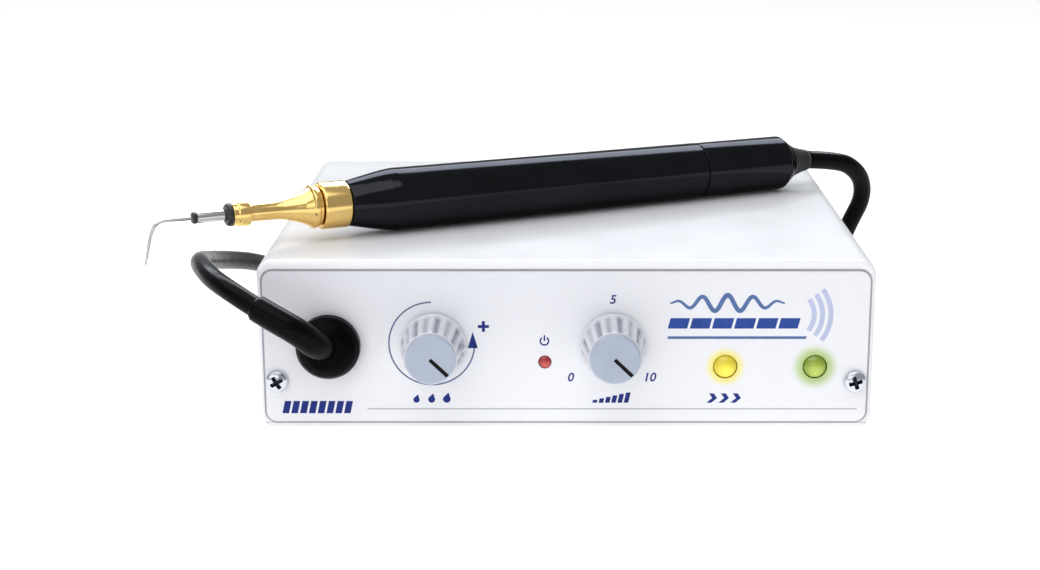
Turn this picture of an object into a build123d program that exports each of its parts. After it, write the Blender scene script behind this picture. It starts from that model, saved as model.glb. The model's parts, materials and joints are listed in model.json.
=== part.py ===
from build123d import *
from math import cos, pi, radians, sin, tan
import os

# Ultrasonic scaler: a low control unit with a tethered handpiece lying across its top.
# Millimetres, +Z up, the front panel faces -Y. The origin is on the resting surface, below the
# middle of the whole outline. Case pieces are placed from the middle of the case and from the
# face of its front panel, handpiece pieces by their distance behind the barrel's front rim.

os.makedirs("parts", exist_ok=True)

# ---------------------------------------------------------------- driving dimensions
CASE_X = 18.47  # middle of the case in the frame
FRONT_Y = -88.38  # face of the front panel in the frame

CASE_WIDTH = 200.0
CASE_DEPTH = 178.0
CASE_TOP = 59.0
FOOT_HEIGHT = 2.5
BASE_TOP = 4.2  # upper side of the base's flange, which the cover stands on
WALL = 2.5
SEAM = 0.1  # gap between pieces that are screwed or clipped together
EDGE_R = 5.0  # long upper edges of the cover
REAR_R = 4.5
FRONT_R = 1.6

COVER_FRONT = 0.6  # the cover's front rim stands this far behind the panel's face
PANEL_WIDTH = 197.2
PANEL_BOTTOM = 4.35
PANEL_TOP = 56.1
PANEL_R = 4.0
OVERLAY_THICK = 0.35
OVERLAY_INSET = 0.6  # margin of the panel that shows round the overlay
PANEL_BACK = 3.2

REAR_PANEL = (184.0, 44.0, 1.5)
REAR_PANEL_Z = 30.0
REAR_FACE = CASE_DEPTH - 0.1  # outer face of the rear panel, from the front face

BOLT_X = 88.0  # screws that join base and cover
BOLT_Y = (15.0, 163.0)
FOOT_X = 80.0
FOOT_Y = (24.0, 154.0)
FOOT_R = 7.0

SCREW_X = 94.2  # front panel screws
SCREW_Z = 18.7
SCREW_R = 1.95

CONTROL_Z = 31.2
CONTROLS = {"water": -43.0, "power": 15.4}
SHAFT_R = 3.0
BUSH_R = 4.5
KNOB_R = 10.7
KNOB_CAP_R = 8.0
KNOB_LENGTH = 18.2
FLUTES = 16

LEDS = {
    "red_led": (-6.9, 25.2, 2.1),
    "yellow_led": (51.8, 23.6, 3.9),
    "green_led": (81.0, 23.6, 3.9),
}

CORD_R = 3.4
BOOT_X = -77.0
BOOT_Z = 31.0
BOOT_R = 10.4
SLEEVE_R = 4.4
SLEEVE_END = (-98.3, -13.5, 47.3)

COIL_X = 0.0
COIL_Y = 250.0
COIL_INNER = 21.2
COIL_OUTER = 48.6
FLOOR_GAP = 0.1

HAND_FACE = (-74.3, 37.6, 69.95)  # middle of the barrel's front rim, from the case
HAND_DIRECTION = (0.8914, 0.4532, -0.0043)  # from the front rim to the rear end
HAND_FRONT_R = 10.75
HAND_REAR_R = 10.0
HAND_SEAM = 138.2
HAND_LENGTH = 178.7
HAND_CORD_END = 188.1  # where the cord comes out of its relief
BORE_R = 6.25
RUNNING = 0.08


def keep(piece, name):
    """Labels a finished piece and writes it."""
    piece.part.label = name
    export_step(piece.part, f"parts/{name}.step")


# ---------------------------------------------------------------- planes and helpers
def level(z):
    """Level plane at height z, measured from the middle of the panel's face."""
    return Plane(origin=(CASE_X, FRONT_Y, z))


def front(x, z, out=0.0):
    """Plane on the front face, looking out of it, standing out that far."""
    return Plane(origin=(CASE_X + x, FRONT_Y - out, z), x_dir=(1, 0, 0), z_dir=(0, -1, 0))


def rear(x, z, out=0.0):
    """Plane on the rear face, looking out of it, standing out that far."""
    origin = (CASE_X + x, FRONT_Y + REAR_FACE + out, z)
    return Plane(origin=origin, x_dir=(-1, 0, 0), z_dir=(0, 1, 0))


def from_case(x, y, z):
    """A point of the frame, from a point measured from the middle of the panel's face."""
    return Vector(CASE_X + x, FRONT_Y + y, z)


HAND_START = from_case(*HAND_FACE)
HAND_ALONG = Vector(*HAND_DIRECTION).normalized()
HAND_AXIS = Axis(HAND_START, HAND_ALONG)
HAND_SIDE = Vector(HAND_ALONG.Y, -HAND_ALONG.X, 0).normalized()
HAND_SECTION = Plane(origin=HAND_START, x_dir=HAND_ALONG, z_dir=HAND_SIDE)


def across_hand(along):
    """Plane square to the handpiece, that far behind the barrel's front rim, its Y upward."""
    origin = HAND_START + HAND_ALONG * along
    return Plane(origin=origin, x_dir=-HAND_SIDE, z_dir=HAND_ALONG)


def turn(section_plane, axis, outline, mode=Mode.ADD):
    """Turns a closed outline of (distance along, radius) points about an axis."""
    with BuildSketch(section_plane) as section:
        with BuildLine():
            Polyline(*outline, close=True)
        make_face()
    revolve(section.sketch, axis=axis, mode=mode)


def turn_hand(outline, mode=Mode.ADD):
    """Turns an outline about the handpiece's axis."""
    turn(HAND_SECTION, HAND_AXIS, outline, mode)


def turn_out(face, outline, mode=Mode.ADD):
    """Turns an outline about the normal of a face plane."""
    section = Plane(origin=face.origin, x_dir=face.z_dir, z_dir=face.x_dir * -1)
    turn(section, Axis(face.origin, face.z_dir), outline, mode)


def disc(plane, radius, height, bore=0.0, mode=Mode.ADD):
    """A disc or ring on a plane."""
    with BuildSketch(plane) as ring:
        Circle(radius)
        if bore:
            Circle(bore, mode=Mode.SUBTRACT)
    extrude(ring.sketch, amount=height, mode=mode)


def slab(plane, width, height, thick, mode=Mode.ADD):
    """A rectangular slab centred on a plane."""
    with BuildSketch(plane) as outline:
        Rectangle(width, height)
    extrude(outline.sketch, amount=thick, mode=mode)


def hexagon(plane, across_flats, height, bore):
    """A hexagon nut or flange on a plane."""
    with BuildSketch(plane) as nut:
        RegularPolygon(across_flats / 2, 6, major_radius=False)
        Circle(bore, mode=Mode.SUBTRACT)
    extrude(nut.sketch, amount=height)


def corner_radii(points):
    """Each corner's radius: 0.45 of the shorter run over the tangent of half the turn."""
    radii = []
    for before, here, after in zip(points, points[1:], points[2:]):
        runs = (here - before, after - here)
        half_turn = radians(runs[0].get_angle(runs[1]) / 2)
        radii.append(0.45 * min(run.length for run in runs) / tan(half_turn))
    return radii


def hose(points, radii, radius, bore=0.0):
    """A round tube along straight runs joined by tangent arcs. Returns its length."""
    with BuildLine() as route:
        FilletPolyline(*points, radius=radii)
    start = Plane(origin=points[0], z_dir=points[1] - points[0])
    with BuildSketch(start) as section:
        Circle(radius)
        if bore:
            Circle(bore, mode=Mode.SUBTRACT)
    sweep(section.sketch, path=route.wire())
    return route.wire().length


# ---------------------------------------------------------------- case
with BuildPart() as top_cover:
    with BuildSketch(front(0, 0, -COVER_FRONT)) as outline:
        with Locations((0, (FOOT_HEIGHT + CASE_TOP) / 2)):
            RectangleRounded(CASE_WIDTH, CASE_TOP - FOOT_HEIGHT, EDGE_R)
        with Locations((0, (BASE_TOP + SEAM + CASE_TOP) / 2)):
            Rectangle(CASE_WIDTH, CASE_TOP - BASE_TOP - SEAM, mode=Mode.INTERSECT)
    extrude(amount=-(CASE_DEPTH - COVER_FRONT))
    fillet(top_cover.faces().sort_by(Axis.Y)[-1].edges().sort_by(Axis.Z)[1:], radius=REAR_R)
    fillet(top_cover.faces().sort_by(Axis.Y)[0].edges().sort_by(Axis.Z)[1:], radius=FRONT_R)
    # seat of the front panel
    with BuildSketch(front(0, (PANEL_BOTTOM + PANEL_TOP) / 2, -COVER_FRONT)):
        RectangleRounded(
            PANEL_WIDTH + 2 * SEAM, PANEL_TOP - PANEL_BOTTOM + 2 * SEAM, PANEL_R + SEAM
        )
    extrude(amount=-(PANEL_BACK - COVER_FRONT + SEAM), mode=Mode.SUBTRACT)
    # the hollow inside
    with BuildSketch(front(0, (CASE_TOP - WALL) / 2, -PANEL_BACK)) as hollow:
        Rectangle(CASE_WIDTH - 2 * WALL, CASE_TOP - WALL)
        fillet(hollow.vertices().group_by(Axis.Y)[-1], radius=EDGE_R - WALL)
    extrude(amount=-(CASE_DEPTH - WALL - PANEL_BACK), mode=Mode.SUBTRACT)
    # rear window and the recess that the rear panel lies in
    slab(
        rear(0, REAR_PANEL_Z, 0.2),
        REAR_PANEL[0] + 2 * SEAM,
        REAR_PANEL[1] + 2 * SEAM,
        -(REAR_PANEL[2] + 0.2 + SEAM),
        mode=Mode.SUBTRACT,
    )
    slab(rear(0, REAR_PANEL_Z, 1), REAR_PANEL[0] - 14, REAR_PANEL[1] - 10, -6, mode=Mode.SUBTRACT)
    # posts for the screws that come up through the base
    with BuildSketch(level(BASE_TOP + 3.2)):
        with Locations([(x, y) for x in (-BOLT_X, BOLT_X) for y in BOLT_Y]):
            Circle(3.6)
    extrude(amount=CASE_TOP - WALL - BASE_TOP - 3)
    with BuildSketch(level(BASE_TOP + 3.2)):
        with Locations([(x, y) for x in (-BOLT_X, BOLT_X) for y in BOLT_Y]):
            Circle(1.55)
    extrude(amount=16, mode=Mode.SUBTRACT)
    # blocks behind the front panel for its two screws
    for side in (-1, 1):
        slab(front(side * 94, SCREW_Z, -(PANEL_BACK + SEAM)), 8, 9, -9)
        disc(front(side * SCREW_X, SCREW_Z, -PANEL_BACK), SCREW_R + 0.05, -9, mode=Mode.SUBTRACT)
    # holes for the rear panel's screws
    for x in (-89.0, 89.0):
        for z in (-18.0, 18.0):
            disc(rear(x, REAR_PANEL_Z + z), 1.25, -6, mode=Mode.SUBTRACT)
keep(top_cover, "top_cover")

with BuildPart() as base_chassis:
    with BuildSketch(level(FOOT_HEIGHT)) as outline:
        with Locations((0, (COVER_FRONT + CASE_DEPTH) / 2)):
            Rectangle(CASE_WIDTH, CASE_DEPTH - COVER_FRONT)
        fillet(outline.vertices().group_by(Axis.Y)[-1], radius=REAR_R)
        fillet(outline.vertices().group_by(Axis.Y)[0], radius=FRONT_R)
    extrude(amount=BASE_TOP - FOOT_HEIGHT)
    chamfer(base_chassis.faces().sort_by(Axis.Z)[0].edges(), length=0.6)
    # its long lower edges carry on the cover's round
    with BuildSketch(front(0, (FOOT_HEIGHT + CASE_TOP) / 2)):
        RectangleRounded(CASE_WIDTH, CASE_TOP - FOOT_HEIGHT, EDGE_R)
    extrude(amount=-CASE_DEPTH, mode=Mode.INTERSECT)
    # lip that locates the cover
    with BuildSketch(level(BASE_TOP)) as lip:
        with Locations((0, (PANEL_BACK + CASE_DEPTH - WALL) / 2)):
            Rectangle(CASE_WIDTH - 2 * WALL - 0.6, CASE_DEPTH - WALL - PANEL_BACK - 0.8)
            Rectangle(
                CASE_WIDTH - 2 * WALL - 4.2,
                CASE_DEPTH - WALL - PANEL_BACK - 4.4,
                mode=Mode.SUBTRACT,
            )
    extrude(amount=2.8)
    with BuildSketch(level(BASE_TOP)):
        with Locations([(x, y) for x in (-BOLT_X, BOLT_X) for y in BOLT_Y]):
            Circle(4.4)
    extrude(amount=3)
    # counterbored screw holes
    with BuildSketch(level(FOOT_HEIGHT)):
        with Locations([(x, y) for x in (-BOLT_X, BOLT_X) for y in BOLT_Y]):
            Circle(1.8)
    extrude(amount=6, mode=Mode.SUBTRACT)
    with BuildSketch(level(FOOT_HEIGHT)):
        with Locations([(x, y) for x in (-BOLT_X, BOLT_X) for y in BOLT_Y]):
            Circle(3.1)
    extrude(amount=2.2, mode=Mode.SUBTRACT)
    # standoffs under the circuit board
    with BuildSketch(level(BASE_TOP)):
        with Locations([(x, y) for x in (-22, 84) for y in (48, 146)]):
            Circle(3)
    extrude(amount=7.7)
keep(base_chassis, "base_chassis")

with BuildPart() as base_screws:
    for x in (-BOLT_X, BOLT_X):
        for y in BOLT_Y:
            place = Plane(origin=from_case(x, y, FOOT_HEIGHT + 0.1))
            disc(place, 2.8, 2.0)
            disc(place, 1.5, 18)
            slab(place, 3.4, 0.7, 1.1, mode=Mode.SUBTRACT)
            slab(place, 0.7, 3.4, 1.1, mode=Mode.SUBTRACT)
keep(base_screws, "base_screws")

with BuildPart() as rubber_feet:
    with BuildSketch(level(0)):
        with Locations([(x, y) for x in (-FOOT_X, FOOT_X) for y in FOOT_Y]):
            Circle(FOOT_R)
    extrude(amount=FOOT_HEIGHT)
    chamfer(rubber_feet.faces().group_by(Axis.Z)[0].edges(), length=0.5)
keep(rubber_feet, "rubber_feet")


def panel_holes(plane, depth):
    """Cuts the openings that the front panel and its overlay share."""
    with BuildSketch(plane) as holes:
        with Locations((BOOT_X, BOOT_Z)):
            Circle(5.2)
        for x in CONTROLS.values():
            with Locations((x, CONTROL_Z)):
                Circle(BUSH_R + 0.1)
        for x, z, radius in LEDS.values():
            with Locations((x, z)):
                Circle(radius + 0.1)
        for side in (-1, 1):
            with Locations((side * SCREW_X, SCREW_Z)):
                Circle(SCREW_R + 0.15)
    extrude(holes.sketch, amount=depth, mode=Mode.SUBTRACT)


with BuildPart() as front_panel:
    with BuildSketch(front(0, (PANEL_BOTTOM + PANEL_TOP) / 2, -OVERLAY_THICK)) as outline:
        Rectangle(PANEL_WIDTH, PANEL_TOP - PANEL_BOTTOM)
        fillet(outline.vertices(), radius=PANEL_R)
    extrude(amount=-(PANEL_BACK - OVERLAY_THICK))
    panel_holes(front(0, 0), -PANEL_BACK)
keep(front_panel, "front_panel")

with BuildPart() as panel_overlay:
    with BuildSketch(front(0, (PANEL_BOTTOM + PANEL_TOP) / 2)) as outline:
        Rectangle(PANEL_WIDTH - 2 * OVERLAY_INSET, PANEL_TOP - PANEL_BOTTOM - 2 * OVERLAY_INSET)
        fillet(outline.vertices(), radius=PANEL_R - OVERLAY_INSET)
    extrude(amount=-OVERLAY_THICK)
    panel_holes(front(0, 0), -PANEL_BACK)
keep(panel_overlay, "panel_overlay")

with BuildPart() as front_screws:
    for side in (-1, 1):
        face = front(side * SCREW_X, SCREW_Z, 0.05)
        turn_out(face, [(0, 0), (0, 3.8), (0.9, 3.8), (1.9, 3.1), (2.5, 1.6), (2.6, 0)])
        disc(face, SCREW_R, -11)
        slab(front(side * SCREW_X, SCREW_Z, 1.2), 4.4, 0.9, 2, mode=Mode.SUBTRACT)
        slab(front(side * SCREW_X, SCREW_Z, 1.2), 0.9, 4.4, 2, mode=Mode.SUBTRACT)
keep(front_screws, "front_screws")

# ---------------------------------------------------------------- front controls
for name, x in CONTROLS.items():
    body_name = {"water": "water_valve_body", "power": "power_potentiometer"}[name]
    with BuildPart() as control_body:
        slab(front(x, CONTROL_Z, -PANEL_BACK - SEAM), 17, 17, -11)
        disc(front(x, CONTROL_Z, -PANEL_BACK - 1), BUSH_R, PANEL_BACK + 4.2)
        disc(front(x, CONTROL_Z, 5), SHAFT_R + RUNNING, -17, mode=Mode.SUBTRACT)
    keep(control_body, body_name)

    with BuildPart() as bush_nut:
        hexagon(front(x, CONTROL_Z, 0.05), 12, 2.2, BUSH_R + 0.05)
    keep(bush_nut, f"{name}_bush_nut")

    with BuildPart() as shaft:
        disc(front(x, CONTROL_Z, -11.5), SHAFT_R, 11.5 + 15)
    keep(shaft, f"{name}_shaft")

    with BuildPart() as knob:
        disc(front(x, CONTROL_Z, 0.7), KNOB_R, 2.3)
        with BuildSketch(front(x, CONTROL_Z, 3)):
            Circle(KNOB_R - 0.3)
            with PolarLocations(KNOB_R + 0.5, FLUTES):
                Circle(1.35, mode=Mode.SUBTRACT)
        extrude(amount=12.4, taper=6)
        disc(front(x, CONTROL_Z, 15.4), KNOB_CAP_R + 0.5, 1.2)
        disc(front(x, CONTROL_Z, 0.7), 8.0, 4.6, mode=Mode.SUBTRACT)
        disc(front(x, CONTROL_Z, 0.7), SHAFT_R + 0.03, 14.6, mode=Mode.SUBTRACT)
    keep(knob, f"{name}_knob")

    with BuildPart() as knob_cap:
        disc(front(x, CONTROL_Z, 16.65), KNOB_CAP_R, KNOB_LENGTH - 16.65)
        chamfer(knob_cap.faces().sort_by(Axis.Y)[0].edges(), length=0.5)
    keep(knob_cap, f"{name}_knob_cap")

for name, (x, z, radius) in LEDS.items():
    with BuildPart() as led:
        dome = [(radius * sin(radians(a)), radius * cos(radians(a))) for a in range(15, 90, 15)]
        stand = -0.3 * radius
        profile = [(-6, 0), (-6, radius), (stand, radius)]
        profile += [(stand + 0.75 * out, r) for out, r in dome]
        profile += [(stand + 0.75 * radius, 0)]
        turn_out(front(x, z), profile)
        disc(front(x, z, -PANEL_BACK - 0.1), radius + 0.5, -1)
    keep(led, name)

with BuildPart() as display_board:
    slab(front(34.5, 30, -15.6), 97, 34, -1.6)
keep(display_board, "display_board")

# ---------------------------------------------------------------- inside the case
with BuildPart() as circuit_board:
    with BuildSketch(level(BASE_TOP + 7.7)):
        with Locations((31, 97)):
            Rectangle(118, 110)
    extrude(amount=1.6)
keep(circuit_board, "circuit_board")
BOARD_TOP = BASE_TOP + 9.3

with BuildPart() as capacitors:
    with BuildSketch(level(BOARD_TOP)):
        with Locations((0, 132), (22, 132), (44, 132)):
            Circle(8)
    extrude(amount=28)
    chamfer(capacitors.faces().group_by(Axis.Z)[-1].edges(), length=1)
keep(capacitors, "capacitors")

with BuildPart() as heat_sink:
    with BuildSketch(level(BOARD_TOP)):
        with Locations((70, 88)):
            Rectangle(30, 50)
    extrude(amount=4)
    with BuildSketch(level(BOARD_TOP + 4)):
        for row in range(7):
            with Locations((56 + row * 28 / 6, 88)):
                Rectangle(1.6, 50)
    extrude(amount=22)
keep(heat_sink, "heat_sink")

with BuildPart() as transformer_core:
    with BuildSketch(Plane(origin=from_case(-62, 142, 4.4), x_dir=(1, 0, 0), z_dir=(0, -1, 0))) as core:
        with Locations((0, 21)):
            Rectangle(50, 42)
        with Locations((-12.5, 21), (12.5, 21)):
            Rectangle(9, 26, mode=Mode.SUBTRACT)
    extrude(amount=26, both=False)
keep(transformer_core, "transformer_core")

with BuildPart() as transformer_winding:
    with BuildSketch(Plane(origin=from_case(-62, 129, 12.6))):
        Rectangle(33.6, 42)
        Rectangle(16.2, 26.4, mode=Mode.SUBTRACT)
    extrude(amount=25.6)
    fillet(transformer_winding.edges().filter_by(Axis.Z).group_by(Axis.X)[0], radius=4)
    fillet(transformer_winding.edges().filter_by(Axis.Z).group_by(Axis.X)[-1], radius=4)
keep(transformer_winding, "transformer_winding")

with BuildPart() as solenoid_valve:
    with BuildSketch(level(BASE_TOP + 0.1)):
        with Locations((-66, 72)):
            Rectangle(22, 30)
    extrude(amount=20)
    disc(Plane(origin=from_case(-66, 72, 24.2)), 9, 22)
keep(solenoid_valve, "solenoid_valve")

HOSE_R = 2.5
INLET_X = -72.0
inlet_points = [
    from_case(INLET_X, 166.8, 28),
    from_case(INLET_X, 157, 26),
    from_case(-92.5, 146, 17),
    from_case(-92.8, 110, 15),
    from_case(-90, 84, 15),
    from_case(-78.8, 73, 15),
]
with BuildPart() as inlet_hose:
    hose(inlet_points, corner_radii(inlet_points), HOSE_R, 1.5)
keep(inlet_hose, "inlet_hose")

outlet_points = [
    from_case(-66, 56, 15),
    from_case(-64, 44, 18),
    from_case(-53, 33, 26),
    from_case(-44, 26, 31),
    from_case(-43, 14.6, CONTROL_Z),
]
with BuildPart() as outlet_hose:
    hose(outlet_points, corner_radii(outlet_points), HOSE_R, 1.5)
keep(outlet_hose, "outlet_hose")

# ---------------------------------------------------------------- rear panel and its fittings
GLAND_X = 66.0
FUSE_X = 38.0
ROCKER_X = 8.0
PEDAL_X = -26.0
PEDAL_BORE_R = 3.25
PEDAL_BORE_DEPTH = 19.05
REAR_Z = 28.0
SPIGOT_R = 3.2
ROCKER_OPENING = (12.0, 18.0)

with BuildPart() as rear_panel:
    slab(rear(0, REAR_PANEL_Z), REAR_PANEL[0], REAR_PANEL[1], -REAR_PANEL[2])
    with BuildSketch(rear(0, REAR_Z)) as holes:
        for x, radius in ((GLAND_X, 6.1), (FUSE_X, 6.6), (PEDAL_X, 5.1), (INLET_X, 4.9)):
            with Locations((-x, 0)):
                Circle(radius)
        with Locations((-ROCKER_X, 0)):
            Rectangle(ROCKER_OPENING[0] + 2.2, ROCKER_OPENING[1] + 2.2)
        for x in (-89.0, 89.0):
            for z in (-18.0, 18.0):
                with Locations((x, z + REAR_PANEL_Z - REAR_Z)):
                    Circle(1.4)
    extrude(holes.sketch, amount=-REAR_PANEL[2], mode=Mode.SUBTRACT)
keep(rear_panel, "rear_panel")

with BuildPart() as rear_screws:
    for x in (-89.0, 89.0):
        for z in (-18.0, 18.0):
            face = rear(x, REAR_PANEL_Z + z, 0.05)
            turn_out(face, [(0, 0), (0, 2.6), (0.8, 2.4), (1.5, 1.2), (1.6, 0)])
            disc(face, 1.2, -5)
            slab(rear(x, REAR_PANEL_Z + z, 0.8), 3, 0.6, 2, mode=Mode.SUBTRACT)
            slab(rear(x, REAR_PANEL_Z + z, 0.8), 0.6, 3, 2, mode=Mode.SUBTRACT)
keep(rear_screws, "rear_screws")

with BuildPart() as mains_gland:
    gland_face = rear(GLAND_X, REAR_Z, 0.05)
    hexagon(gland_face, 17, 4, 3.7)
    turn_out(gland_face, [(4, 3.7), (4, 7.6), (9, 7.6), (14, 5.4), (14, 3.7)])
    disc(gland_face, 6, -7, bore=3.7)
keep(mains_gland, "mains_gland")

with BuildPart() as gland_nut:
    hexagon(rear(GLAND_X, REAR_Z, -REAR_PANEL[2] - 0.05 - 3), 16, 3, 6.05)
keep(gland_nut, "gland_nut")

with BuildPart() as fuse_holder:
    holder_face = rear(FUSE_X, REAR_Z, 0.05)
    disc(holder_face, 8.2, 2.2, bore=5.2)
    disc(holder_face, 6.5, -24, bore=5.2)
    disc(rear(FUSE_X, REAR_Z, -24), 6.5, 2)
keep(fuse_holder, "fuse_holder")

with BuildPart() as fuse_cap:
    disc(rear(FUSE_X, REAR_Z, 2.55), 6.8, 7)
    fillet(fuse_cap.faces().sort_by(Axis.Y)[-1].edges(), radius=0.8)
    disc(rear(FUSE_X, REAR_Z, 2.6), 5.1, -12)
    slab(rear(FUSE_X, REAR_Z, 8.4), 8, 1.4, 3, mode=Mode.SUBTRACT)
keep(fuse_cap, "fuse_cap")

with BuildPart() as rocker_frame:
    with BuildSketch(rear(ROCKER_X, REAR_Z, 0.05)):
        Rectangle(ROCKER_OPENING[0] + 5, ROCKER_OPENING[1] + 5)
        Rectangle(*ROCKER_OPENING, mode=Mode.SUBTRACT)
    extrude(amount=1.6)
    with BuildSketch(rear(ROCKER_X, REAR_Z, 0.05)):
        Rectangle(ROCKER_OPENING[0] + 2, ROCKER_OPENING[1] + 2)
        Rectangle(*ROCKER_OPENING, mode=Mode.SUBTRACT)
    extrude(amount=-13)
    slab(rear(ROCKER_X, REAR_Z, -12.9), ROCKER_OPENING[0] + 2, ROCKER_OPENING[1] + 2, -2)
keep(rocker_frame, "rocker_frame")

ROCKER_TILT = 12.0  # the rocker rests tipped to one side and swings to the other
PIVOT_DEPTH = 2.4
with BuildPart() as power_rocker:
    pivot = rear(ROCKER_X, REAR_Z, -PIVOT_DEPTH)
    side_view = Plane(
        origin=pivot.origin - Vector(5.7, 0, 0),
        x_dir=Vector(0, cos(radians(ROCKER_TILT)), sin(radians(ROCKER_TILT))),
        z_dir=(1, 0, 0),
    )
    with BuildSketch(side_view):
        with BuildLine():
            Polyline((-3, -6), (3.8, -8), (2.6, 0), (3.8, 8), (-3, 6), close=True)
        make_face()
    extrude(amount=11.4)
keep(power_rocker, "power_rocker")

with BuildPart() as pedal_socket:
    pedal_face = rear(PEDAL_X, REAR_Z, 0.05)
    slab(rear(PEDAL_X, REAR_Z, -REAR_PANEL[2] - 0.05), 15, 15, -19)
    disc(pedal_face, 5, -3)
    hexagon(pedal_face, 13.6, 3, PEDAL_BORE_R)
    disc(rear(PEDAL_X, REAR_Z, 3.05), PEDAL_BORE_R, -PEDAL_BORE_DEPTH, mode=Mode.SUBTRACT)
keep(pedal_socket, "pedal_socket")

with BuildPart() as water_inlet:
    inlet_face = rear(INLET_X, REAR_Z, 0.05)
    hexagon(inlet_face, 14, 5, 2)
    disc(rear(INLET_X, REAR_Z, 5.05), SPIGOT_R, 12, bore=2)
    disc(inlet_face, 4.8, -9, bore=2)
keep(water_inlet, "water_inlet")

with BuildPart() as water_inlet_nut:
    hexagon(rear(INLET_X, REAR_Z, -REAR_PANEL[2] - 0.05 - 3), 13, 3, 4.85)
keep(water_inlet_nut, "water_inlet_nut")

# ---------------------------------------------------------------- handpiece
with BuildPart() as handpiece_barrel:
    turn_hand(
        [
            (0, BORE_R),
            (0, 7.6),
            (5, 8.7),
            (10, 9.7),
            (14, 10.4),
            (17, HAND_FRONT_R),
            (HAND_SEAM - 0.2, 10.15),
            (HAND_SEAM - 0.2, 8.9),
            (14, 8.9),
            (14, BORE_R),
        ]
    )
keep(handpiece_barrel, "handpiece_barrel")

with BuildPart() as handpiece_rear_cap:
    turn_hand(
        [
            (HAND_SEAM + 0.1, 6.5),
            (HAND_SEAM + 0.1, 10.1),
            (174, HAND_REAR_R),
            (175.3, 9.1),
            (177, 7.8),
            (HAND_LENGTH, 6.7),
            (HAND_LENGTH, 2.2),
            (173, 2.2),
            (168, 6.5),
        ]
    )
    turn_hand([(HAND_SEAM - 8, 6.5), (HAND_SEAM - 8, 8.8), (HAND_SEAM + 1, 8.8), (HAND_SEAM + 1, 6.5)])
keep(handpiece_rear_cap, "handpiece_rear_cap")

with BuildPart() as coil_bobbin:
    turn_hand(
        [
            (14.1, BORE_R),
            (14.1, 8.8),
            (17, 8.8),
            (17, 7.0),
            (112, 7.0),
            (112, 8.8),
            (115, 8.8),
            (115, BORE_R),
        ]
    )
keep(coil_bobbin, "coil_bobbin")

with BuildPart() as drive_coil:
    turn_hand([(17.1, 7.05), (17.1, 8.5), (111.9, 8.5), (111.9, 7.05)])
keep(drive_coil, "drive_coil")

with BuildPart() as cord_relief:
    start = HAND_LENGTH + 0.05
    turn_hand([(start, 0), (start, 6.3), (182, 5.2), (185.2, 4.2), (187.4, 3.9), (187.4, 0)])
keep(cord_relief, "cord_relief")

# ---------------------------------------------------------------- insert in the handpiece
with BuildPart() as insert_collar:
    turn_hand(
        [
            (-9.9, 4.0),
            (-9.9, 7.7),
            (-9.4, 8.0),
            (-0.9, 8.0),
            (-0.4, 7.7),
            (-0.4, BORE_R - RUNNING),
            (4.6, BORE_R - RUNNING),
            (4.6, 5.0),
            (6.6, 5.0),
            (6.6, BORE_R - RUNNING),
            (13, BORE_R - RUNNING),
            (13, 4.0),
        ]
    )
keep(insert_collar, "insert_collar")

with BuildPart() as insert_o_ring:
    turn_hand([(4.7, 5.05), (4.7, BORE_R - 0.04), (6.5, BORE_R - 0.04), (6.5, 5.05)])
keep(insert_o_ring, "insert_o_ring")

with BuildPart() as connecting_body:
    turn_hand(
        [
            (-22, 0),
            (-22, 2.8),
            (-10.2, 2.8),
            (-10.2, 4.0 - RUNNING),
            (16, 4.0 - RUNNING),
            (22, 3.0),
            (26, 3.0),
            (26, 0),
        ]
    )
keep(connecting_body, "connecting_body")

with BuildPart() as transducer_stack:
    slab(across_hand(26.05), 5.2, 5.2, 66)
keep(transducer_stack, "transducer_stack")

SPRAY_R = 1.85
with BuildPart() as insert_nose:
    turn_hand(
        [
            (-10.25, 2.85),
            (-10.25, 6.7),
            (-11.4, 6.7),
            (-11.6, 7.3),
            (-13, 7.3),
            (-13.4, 6.6),
            (-15.7, 5.4),
            (-19.1, 4.3),
            (-23.1, 3.3),
            (-25, 3.1),
            (-34.2, 3.1),
            (-34.6, 4.3),
            (-38.3, 4.3),
            (-38.7, 3.9),
            (-40.3, 3.9),
            (-40.3, SPRAY_R + SEAM),
            (-23, SPRAY_R + SEAM),
            (-22.1, 2.85),
        ]
    )
keep(insert_nose, "insert_nose")

with BuildPart() as nose_ring:
    turn_hand(
        [
            (-42.3, SPRAY_R + SEAM),
            (-42.3, 3.3),
            (-41.2, 3.95),
            (-40.4, 3.95),
            (-40.4, SPRAY_R + SEAM),
        ]
    )
keep(nose_ring, "nose_ring")

with BuildPart() as spray_tube:
    turn_hand([(-52.2, 0.65), (-52.2, SPRAY_R), (-32, SPRAY_R), (-32, 0.65)])
keep(spray_tube, "spray_tube")

with BuildPart() as tip_seal:
    turn_hand([(-53.7, 0.65), (-53.7, 1.6), (-53.3, 1.95), (-52.25, 1.95), (-52.25, 0.65)])
keep(tip_seal, "tip_seal")

TIP_R = 0.55
tip_route = [(-50, 0), (-65.4, 0), (-68.2, -6.5), (-69.6, -14)]
tip_points = [HAND_SECTION.from_local_coords(Vector(u, drop, 0)) for u, drop in tip_route]
with BuildPart() as scaler_tip:
    hose(tip_points, [3.2, 20], TIP_R)
keep(scaler_tip, "scaler_tip")

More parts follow.
